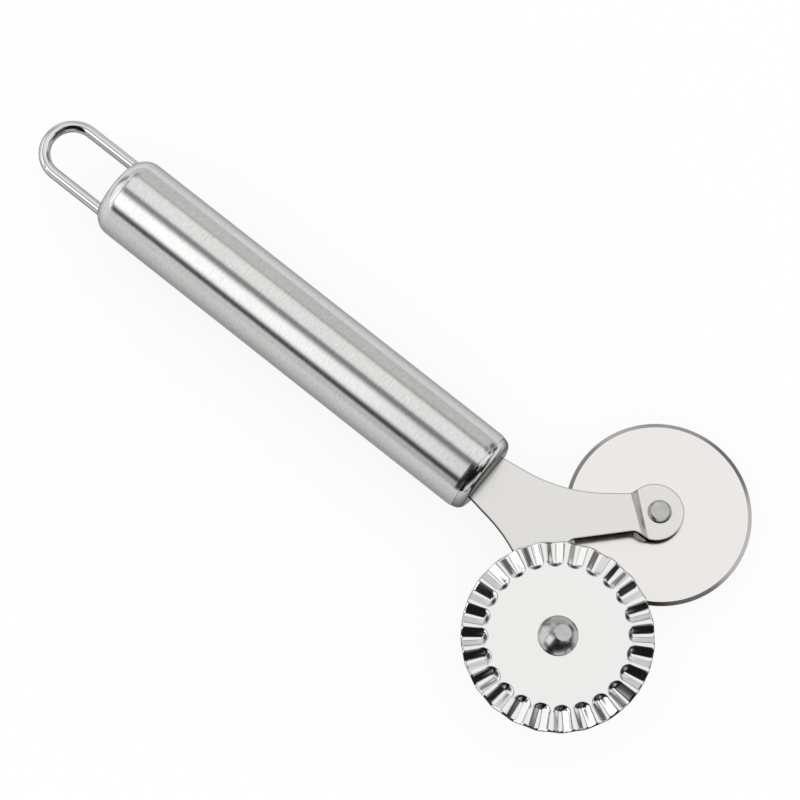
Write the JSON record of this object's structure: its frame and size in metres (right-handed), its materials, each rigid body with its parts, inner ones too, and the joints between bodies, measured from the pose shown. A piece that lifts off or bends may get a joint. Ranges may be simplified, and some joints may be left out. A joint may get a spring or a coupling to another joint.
{
  "type": "double pastry wheel",
  "caption": "Hand cutter with a plain cutting wheel and a fluted crimping wheel riveted to a forked sheet-steel plate, on a brushed tube handle with a wire hanging loop.",
  "frame": {"origin": "middle of the grip, on the handle's axis", "axes": "+X along the handle towards the wheels, +Y to the side of the plain wheel, +Z square to the plate on the side of the fluted wheel"},
  "size_m": [0.2068, 0.0893, 0.022],
  "materials": {
    "brushed_tube": "stainless tube with brush lines that run round it",
    "polished_steel": "polished stainless steel",
    "satin_sheet": "satin stainless sheet",
    "core_plastic": "moulded black plastic"
  },
  "bodies": {
    "handle": {"handle_tube": "brushed_tube", "front_cap": "polished_steel", "rear_cap": "polished_steel", "tang_plug": "core_plastic", "loop_plug": "core_plastic", "hanging_loop": "polished_steel", "fork_plate": "satin_sheet", "plain_wheel_rivet": "polished_steel", "plain_wheel_spacer": "satin_sheet", "fluted_wheel_rivet": "polished_steel", "fluted_wheel_spacer": "satin_sheet"},
    "plain_wheel": {"plain_wheel": "satin_sheet"},
    "fluted_wheel": {"fluted_wheel": "satin_sheet"}
  },
  "joints": [
    {"name": "plain_wheel_spin", "type": "hinge", "parent": "handle", "child": "plain_wheel", "pos_m": [0.09855, 0.021, -0.0037], "axis": [0, 0, 1], "continuous": true},
    {"name": "fluted_wheel_spin", "type": "hinge", "parent": "handle", "child": "fluted_wheel", "pos_m": [0.09855, -0.021, 0.0036], "axis": [0, 0, 1], "continuous": true}
  ]
}
